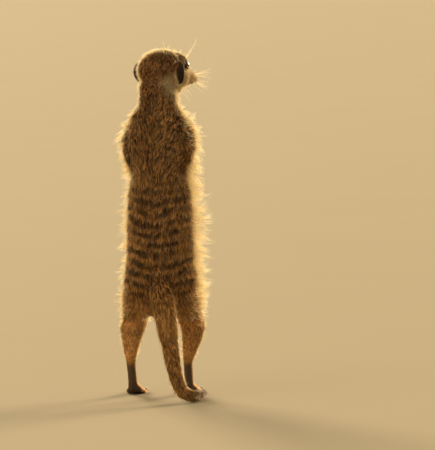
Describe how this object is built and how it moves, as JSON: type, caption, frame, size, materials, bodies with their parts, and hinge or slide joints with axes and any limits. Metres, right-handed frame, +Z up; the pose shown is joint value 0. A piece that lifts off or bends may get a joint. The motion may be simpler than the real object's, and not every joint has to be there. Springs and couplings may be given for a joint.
{
  "type": "standing meerkat model",
  "caption": "Still life-size model of a meerkat standing upright on its hind feet with the tail as a prop, paws hanging at the belly and the head turned to its right.",
  "frame": {"origin": "on the floor, under the middle of the body's bounding box", "axes": "+Z up, the chest faces +Y, the animal's right side is +X"},
  "size_m": [0.0958, 0.117, 0.3253],
  "materials": {
    "coat": "grizzled brown fur with dark bands",
    "tail_coat": "brown fur",
    "tail_tip_coat": "black fur",
    "paw_coat": "short tan fur with bare grey soles",
    "ear_skin": "near-black skin with short down",
    "nose_skin": "moist dark skin",
    "eye": "glossy dark brown"
  },
  "bodies": {
    "root": {"abdomen": "coat", "chest": "coat", "ear_left": "ear_skin", "ear_right": "ear_skin", "eye_left": "eye", "eye_right": "eye", "forearm_left": "coat", "forearm_right": "coat", "front_paw_left": "paw_coat", "front_paw_right": "paw_coat", "head": "coat", "hind_foot_left": "paw_coat", "hind_foot_right": "paw_coat", "neck": "coat", "nose": "nose_skin", "rump": "coat", "shin_left": "coat", "shin_right": "coat", "tail_base": "coat", "tail_middle": "tail_coat", "tail_tip": "tail_tip_coat", "thigh_left": "coat", "thigh_right": "coat", "upper_arm_left": "coat", "upper_arm_right": "coat"}
  },
  "joints": []
}
